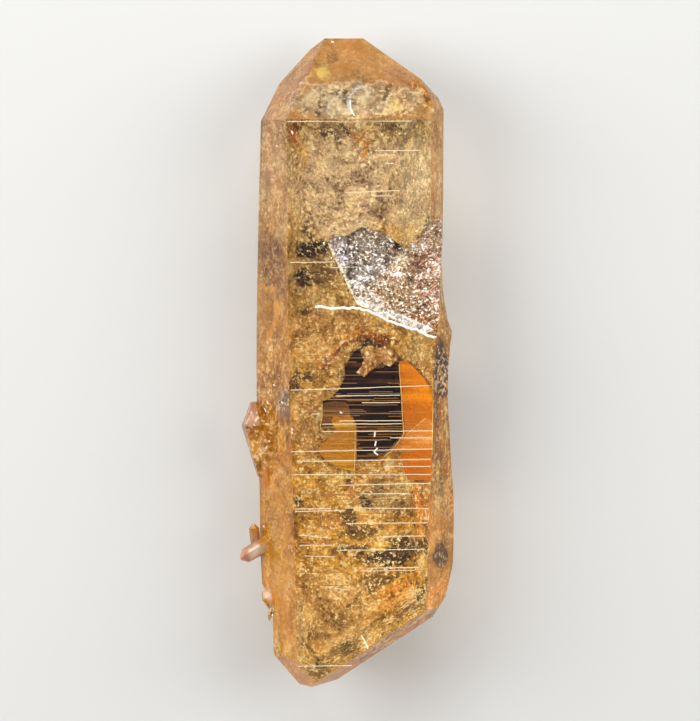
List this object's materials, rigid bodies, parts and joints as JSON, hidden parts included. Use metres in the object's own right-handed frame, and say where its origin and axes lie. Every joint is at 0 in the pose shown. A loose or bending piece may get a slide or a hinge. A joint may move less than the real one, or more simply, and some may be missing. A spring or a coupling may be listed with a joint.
{
  "type": "quartz crystal",
  "caption": "Coated quartz crystal point with a long six-sided body, a blunt faceted tip, a slanting broken base and small crystals grown on its left side.",
  "frame": {"origin": "middle of the crystal's box in width and length, on the flat back prism face that it lies on", "axes": "+Y along the crystal towards its point, +X across its width to the right when its front face is seen with the point up, +Z out of the front face, away from the face it lies on"},
  "size_m": [0.025, 0.076, 0.0138],
  "materials": {
    "golden_aura_quartz": "clear natural quartz with veils inside and a thin iridescent metal coating"
  },
  "bodies": {
    "root": {"aura_quartz_crystal": "golden_aura_quartz"}
  },
  "joints": []
}
